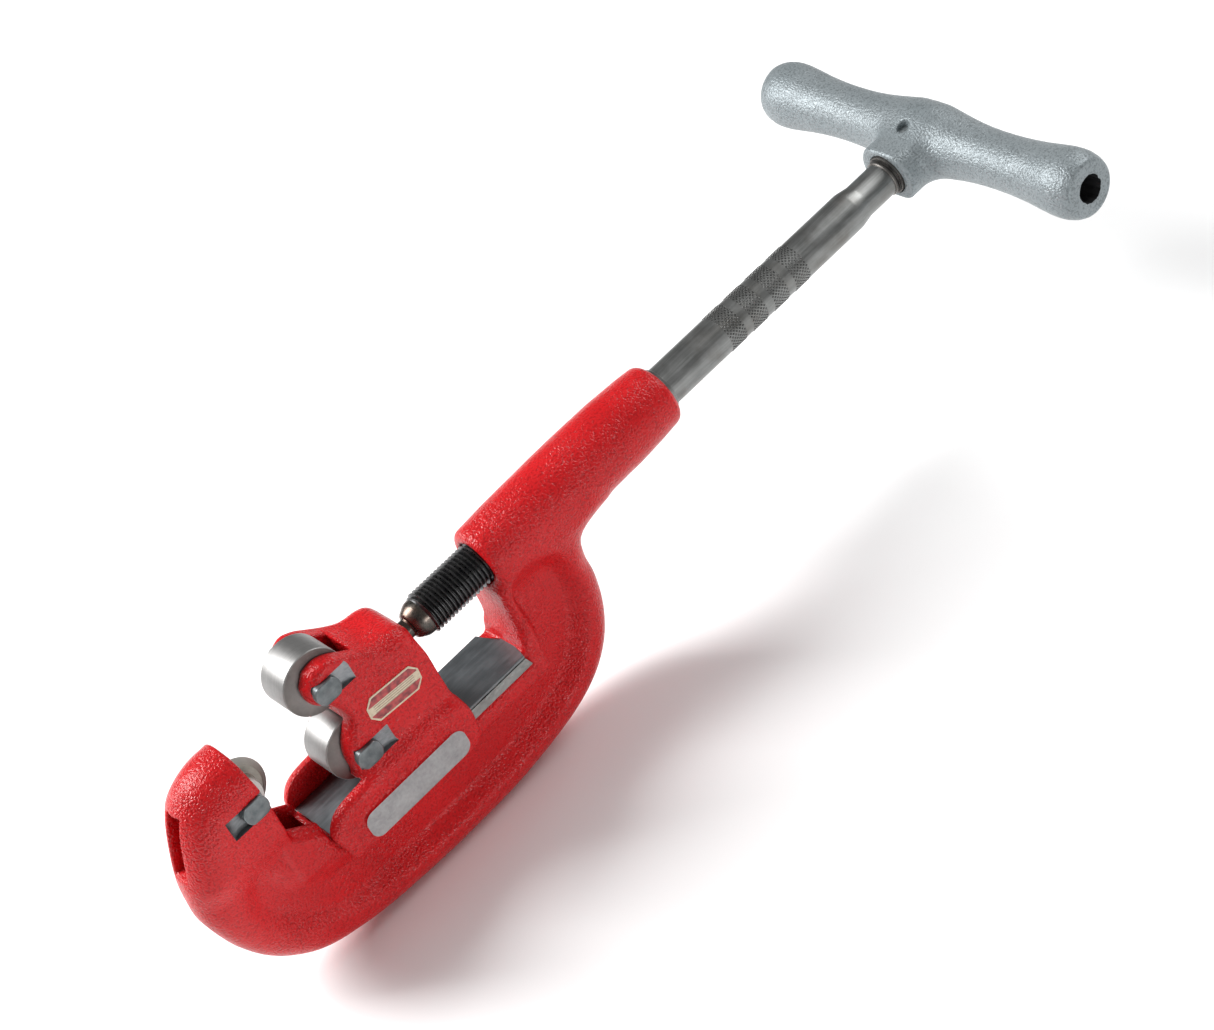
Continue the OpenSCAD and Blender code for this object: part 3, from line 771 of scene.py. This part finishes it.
def make_slide():
    pad_plane_y = 22.95
    near = [(45.7, -40), (45.7, -15.4), (59.5, -15.4), (62, -16), (64.2, -17.0), (66.8, -19.2), (67, -40)]
    far = [(45, 40), (45, 17.0), (58, 17.0), (58, 40)]
    g = Grid((16, -25, -60), (100, 25, 34), 0.72)
    piece = cast_piece("slide_casting", g, slide_field(g), RED)
    cutters = []
    for z in (RISE, -RISE):
        cutters.append(prism("seat", near, z - 5.2, z + 5.2, 2, MILLED))
        cutters.append(prism("far_seat", far, z - 7, z + 7, 2, MILLED))
    for side in (-1, 1):
        inner, outer = side * pad_plane_y, side * 40
        plane = [(20, inner), (20, outer), (105, outer), (105, inner)]
        cutters.append(prism("pad_plane", plane, -60, -35, 2, PAD))
    machined(piece, cutters)
    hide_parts("slide")
    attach(piece, "slide")


# --------------------------------------------------------- pins and rollers

def make_pin(node, body, head_y, x, z):
    """A pin whose head has two flats, all edges softly rounded."""
    head_r, flat_half, head_deep, far_y = 6.35, 5.0, 4, 20.55
    g = Grid((x - 8, head_y - 1.5, z - 8), (x + 8, 22, z + 8), 0.36)
    dish = 0.25 * ease(3.5, 6, np.hypot(g.x - x, g.z - z))
    head = meet(round_y(g, x, z, head_r), np.abs(g.z - z) - flat_half, 0.5)
    head = meet(head, span(g.y, head_y, head_y + head_deep) + dish, 0.55)
    shank = meet(round_y(g, x, z, PIN_R), span(g.y, head_y + 3, far_y), 0.5)
    groove = np.maximum(span(g.y, 17.55, 18.85), 3.85 - np.hypot(g.x - x, g.z - z))
    field = cut(np.minimum(head, shank), groove, 0.1)
    piece = cast_piece(node + "_body", g, field, PIN)
    piece.data.set_sharp_from_angle(angle=math.radians(50))
    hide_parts(node)
    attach(piece, body)


def broken(half, outer, inner, edge):
    """Profile of a ring with rounded outer corners, along its axis from -half to half."""
    turns = [math.radians(90 * i / 4) for i in range(5)]
    corner = [(half - edge + edge * math.cos(t), outer - edge + edge * math.sin(t)) for t in turns]
    rim = [(-along, radius) for along, radius in corner] + corner[::-1]
    hole = [(half, inner + 0.4), (half - 0.4, inner), (-half + 0.4, inner), (-half, inner + 0.4)]
    return rim + hole + [rim[0]]


def make_rollers():
    profile = broken(ROLLER_HALF, ROLLER_R, 4.8, 0.55)
    for node, z in (("upper_roller", RISE), ("lower_roller", -RISE)):
        piece = turned(node + "_turned", profile, ROLLER, 160, "Y", (JAW, 0, z))
        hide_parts(node)
        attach(piece, node)


def make_wheel():
    """The wheel: a wide hub, and a disc bevelled to its edge."""
    one_side = [(-8.5, 4.8), (-8.5, 9.4), (-8.0, 9.95), (-2.3, 10.0), (-2.0, 10.4),
                (-1.75, WHEEL_R - 2.8), (-0.12, WHEEL_R - 0.1), (0, WHEEL_R - 0.02)]
    profile = one_side + [(-along, radius) for along, radius in reversed(one_side[:-1])] + [one_side[0]]
    piece = turned("cutter_wheel_turned", profile, WHEEL_STEEL, 160, "Y", (0, 0, 0), 20)
    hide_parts("cutter_wheel")
    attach(piece, "cutter")


# -------------------------------------------------------------------- screw

def make_thread(start, end, outer, deep, columns=96):
    """A right-hand V thread as one closed mesh."""
    marks = [(0.0, 1.0), (0.16, 1.0), (0.5, 0.0), (0.66, 0.0)]
    runout = 1.4
    turns = int((end - start) / PITCH) + 2
    rows = [(turn + at, height) for turn in range(-1, turns) for at, height in marks]
    points = []
    for j in range(columns):
        angle = 2 * math.pi * j / columns
        for place, height in rows:
            x = start + PITCH * (place + j / columns)
            tall = height * ease(start, start + runout, x) * ease(end, end - runout, x)
            x = min(max(x, start), end)
            radius = outer - deep + deep * tall
            points.append((x, radius * math.cos(angle), radius * math.sin(angle)))
    n = len(rows)
    faces = []
    for j in range(columns):
        k = (j + 1) % columns
        wrap = len(marks) if k == 0 else 0
        for i in range(n - 1 - wrap):
            a, b = j * n + i, j * n + i + 1
            c, d = k * n + i + wrap, k * n + i + 1 + wrap
            faces.append([a, b, d, c])
    piece = mesh_piece("screw_thread", points, faces, OXIDE, crease=0)
    shape = bmesh.new()
    shape.from_mesh(piece.data)
    bmesh.ops.remove_doubles(shape, verts=shape.verts, dist=2e-6)
    bmesh.ops.dissolve_degenerate(shape, edges=shape.edges, dist=1e-6)
    loose = [v for v in shape.verts if not v.link_faces]
    bmesh.ops.delete(shape, geom=loose, context="VERTS")
    bmesh.ops.holes_fill(shape, edges=[e for e in shape.edges if e.is_boundary])
    bmesh.ops.recalc_face_normals(shape, faces=shape.faces)
    shape.to_mesh(piece.data)
    shape.free()
    piece.data.set_sharp_from_angle(angle=math.radians(25))
    return piece


def make_knurl(name, start, width, peak, deep):
    """One band of diamond knurling."""
    around, lead, fine = 30, 2.04, 8
    columns = around * fine
    step = lead / fine
    rows = int(round(width / step)) + 1
    x = np.linspace(0, width, rows)[:, None]
    angle = 2 * math.pi * np.arange(columns)[None, :] / columns

    def ridge(value):
        return 1 - np.abs(2 * (value - np.floor(value)) - 1)

    around_at = angle * around / (2 * math.pi)
    height = np.minimum(ridge(around_at + x / lead), ridge(around_at - x / lead))
    height = np.minimum(height * 1.5, 0.9) * ease(0, 0.5, x) * ease(width, width - 0.5, x)
    radius = peak - deep + deep * height
    along = np.broadcast_to(start + x, radius.shape)
    spots = np.stack([along, radius * np.cos(angle), radius * np.sin(angle)], 2)
    faces = ring_faces(rows, columns, capped=True)
    piece = mesh_piece(name, spots.reshape(-1, 3), faces, KNURL, crease=0)
    face_out(piece.data)
    piece.data.set_sharp_from_angle(angle=math.radians(40))
    return piece


def make_bush():
    """The bush in the barrel's mouth: a plain rim with a dark groove behind it."""
    bush = turned("guide_bush_turned", [
        (238.2, 9.65), (238.2, 11.9), (251.3, 11.9), (251.5, 11.7), (251.6, 10.3), (252.5, 10.2),
        (252.6, 10.6), (253.9, 10.6), (254.2, 10.3), (254.2, 9.65), (238.2, 9.65)], BUSH)
    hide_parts("guide_bush")
    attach(bush, "frame")


def make_screw():
    """The screw: nose, thread, rod, collar and knurled bands, which all turn together."""
    bands, first_band, band_step, band_wide = 4, 289.6, 13.77, 10.2
    nose = turned("screw_nose", [
        (76.1, 0.01), (76.1, 4.1), (76.5, 4.5), (82.4, 4.5), (82.45, 3.75), (83.55, 3.75), (83.6, 4.5),
        (99.6, 4.5), (100.3, 4.9), (100.6, 6.0), (101.2, 6.6), (104.2, 8.2), (105.4, 8.6), (107.6, 8.75),
        (108.1, 8.75), (108.1, 0.01)], NOSE)
    thread = make_thread(107.4, 172, 9.97, 1.22)
    rod = turned("screw_rod", [
        (171.9, 0.01), (171.9, 8.9), (172.6, ROD_R), (288.6, ROD_R), (289.5, ROD_R - 0.03),
        (344, ROD_R), (376.3, ROD_R), (377, 9.42), (382.4, 8.5), (383.2, 8.3), (399.6, 8.3),
        (437, 8.28), (437.8, 7.4), (437.8, 0.01)], ROD)
    collar = turned("hub_collar", [
        (399.4, 8.2), (399.4, 8.7), (399.8, 8.95), (400.6, 8.95), (400.7, 8.7), (401.1, 8.7),
        (401.2, 9.1), (402.2, 9.2), (402.4, 9.8), (404.3, 9.8), (404.3, 8.2), (399.4, 8.2)], COLLAR)
    pieces = [nose, thread, rod, collar]
    for band in range(bands):
        start = first_band + band_step * band
        pieces.append(make_knurl(f"knurl_band_{band + 1}", start, band_wide, 9.78, 0.62))
    for piece in pieces:
        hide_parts("feed_screw")
        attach(piece, "screw")


# ------------------------------------------------------------------- handle

BAR_Y = [0, 7, 14, 21, 28, 35, 42, 49, 56, 63, 70, 77, 84, 88, 91, 95, 97.5, 99]
BAR_R = [BAR_MID_R - 0.15, 16.7, 15.6, 14.5, 13.6, 13.0, 12.7, 12.65, 12.8,
         13.2, 13.8, 14.7, 15.5, 15.65, 15.5, 14.6, 13.4, 12.6]


def handle_field(g):
    """The handle casting: a waisted bar, and a hub with two flats round the rod's end."""
    hub_r, hub_flat, hub_start = 15.2, 12.6, 403.1
    cross_x, cross_r = 420.5, 3.2
    across = np.abs(g.y)
    ends = across - BAR_HALF + 0.05
    bar = meet(round_y(g, HANDLE_X, 0, np.interp(across, BAR_Y, BAR_R)), ends, 1.1)
    hub = meet(round_x(g, hub_r), np.abs(g.z) - hub_flat, 2.2)
    hub = meet(hub, span(g.x, hub_start, HANDLE_X), 1.3)
    body = np.maximum(join(bar, hub, 6), ends)
    # The rod's hole, wider at its mouth for the collar, and the cross pin's hole
    body = cut(body, np.maximum(round_x(g, 8.4), span(g.x, 400, 438.3)), 0.4)
    body = cut(body, np.maximum(round_x(g, 10.2), span(g.x, 400, HUB_MOUTH)), 0.4)
    body = cut(body, np.hypot(g.x - cross_x, g.y) - cross_r, 0.3)
    return body


def core_cutter(side):
    """The uneven cored hole in one end of the bar, its walls coloured near-black as painted shade."""
    corners, core_r, core_end = 28, 6.6, 38.5
    rng = np.random.default_rng(13)
    turns = 2 * math.pi * np.arange(corners) / corners
    radius = core_r + rng.normal(0, 0.16, corners)
    outline = list(zip(HANDLE_X + radius * np.cos(turns), radius * np.sin(turns)))
    low, high = sorted((side * core_end, side * (BAR_HALF + 5)))
    return prism("core", outline, low, high, 1, CORE_SHADE)


def make_handle():
    g = Grid((401, -100, -18), (449, 100, 18), 0.8)
    piece = cast_piece("handle_casting", g, handle_field(g), SILVER)
    machined(piece, [core_cutter(side) for side in (-1, 1)])
    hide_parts("t_handle")
    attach(piece, "screw")


def dress_cad_nodes():
    """Finishes for the CAD nodes whose shape is right as it is."""
    looks = {"wheel_pin_ring": SPRING, "upper_pin_ring": SPRING, "lower_pin_ring": SPRING,
             "screw_ring": SPRING, "pull_washer": BUSH, "thrust_disc": BUSH,
             "side_label": LABEL, "handle_pin": PIN}
    for node, material in looks.items():
        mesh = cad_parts[node].data
        mesh.materials.clear()
        mesh.materials.append(material)


# ------------------------------------------------------------ camera, studio

def make_camera():
    """Looks from 39 degrees above and from the hook's end, rolled; returns its axes and aim."""
    target = Vector((-0.0382, -0.0886, 0.1499))
    azimuth, elevation, roll = (math.radians(a) for a in (-23.73, 39.12, -28.26))
    back = Vector((math.sin(azimuth) * math.cos(elevation), -math.cos(azimuth) * math.cos(elevation),
                   math.sin(elevation)))
    level = Vector((math.cos(azimuth), math.sin(azimuth), 0))
    turn = Matrix.Rotation(roll, 3, back)
    right = turn @ level
    up = back.cross(right)
    data = bpy.data.cameras.new("camera")
    data.lens, data.sensor_width = 84.54, 36
    data.clip_start, data.clip_end = 0.05, 50
    camera = bpy.data.objects.new("camera", data)
    spot = Vector((-0.3847, -0.8768, 0.8502))
    axes = Matrix((right, up, back)).transposed().to_4x4()
    camera.matrix_world = Matrix.Translation(spot) @ axes
    bpy.context.scene.collection.objects.link(camera)
    bpy.context.scene.camera = camera
    return right, up, back, target


def area_light(name, spot, aim, size, power):
    """A white rectangular light at spot, in watts, turned to aim."""
    data = bpy.data.lights.new(name, "AREA")
    data.shape = "RECTANGLE"
    data.size, data.size_y = size
    data.energy = power
    light = bpy.data.objects.new(name, data)
    light.location = spot
    light.rotation_euler = (Vector(aim) - Vector(spot)).to_track_quat("-Z", "Y").to_euler()
    bpy.context.scene.collection.objects.link(light)


def make_studio():
    """A pale floor just under the tool, an even sky, three lights and the camera."""
    far, floor_z = 6.0, -0.0002
    corners = [(-far, -far, floor_z), (far, -far, floor_z), (far, far, floor_z), (-far, far, floor_z)]
    mesh = bpy.data.meshes.new("studio_floor")
    mesh.from_pydata(corners, [], [(0, 1, 2, 3)])
    mesh.materials.append(floor_paint())
    floor = bpy.data.objects.new("studio_floor", mesh)
    bpy.context.scene.collection.objects.link(floor)
    world = bpy.data.worlds.new("studio")
    world.use_nodes = True
    sky = world.node_tree.nodes["Background"]
    sky.inputs["Color"].default_value = (1, 1, 1, 1)
    sky.inputs["Strength"].default_value = 0.25
    bpy.context.scene.world = world
    right, up, back, target = make_camera()
    left_spot = target - right * 1.45 + up * 0.5 + back * 0.15
    right_spot = target + right * 0.85 - up * 0.60 + back * 1.25
    top_spot = target + up * 1.3 + back * 0.1 + right * 0.6
    area_light("key_left", left_spot, target, (0.6, 1.2), 38)
    area_light("fill_right", right_spot, target, (1.0, 0.3), 8)
    area_light("rim_top", top_spot, target, (1.0, 0.5), 10)
    bpy.context.scene.view_settings.view_transform = "Standard"


make_studio()
make_frame()
make_way()
make_slide()
for pin, rider in (("wheel_pin", "frame"), ("upper_roller_pin", "slide"), ("lower_roller_pin", "slide")):
    place = tool(middle(pin))
    make_pin(pin, rider, tool(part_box(pin)[0]).y, place.x, place.z)
make_rollers()
make_wheel()
make_bush()
make_screw()
make_handle()
dress_cad_nodes()
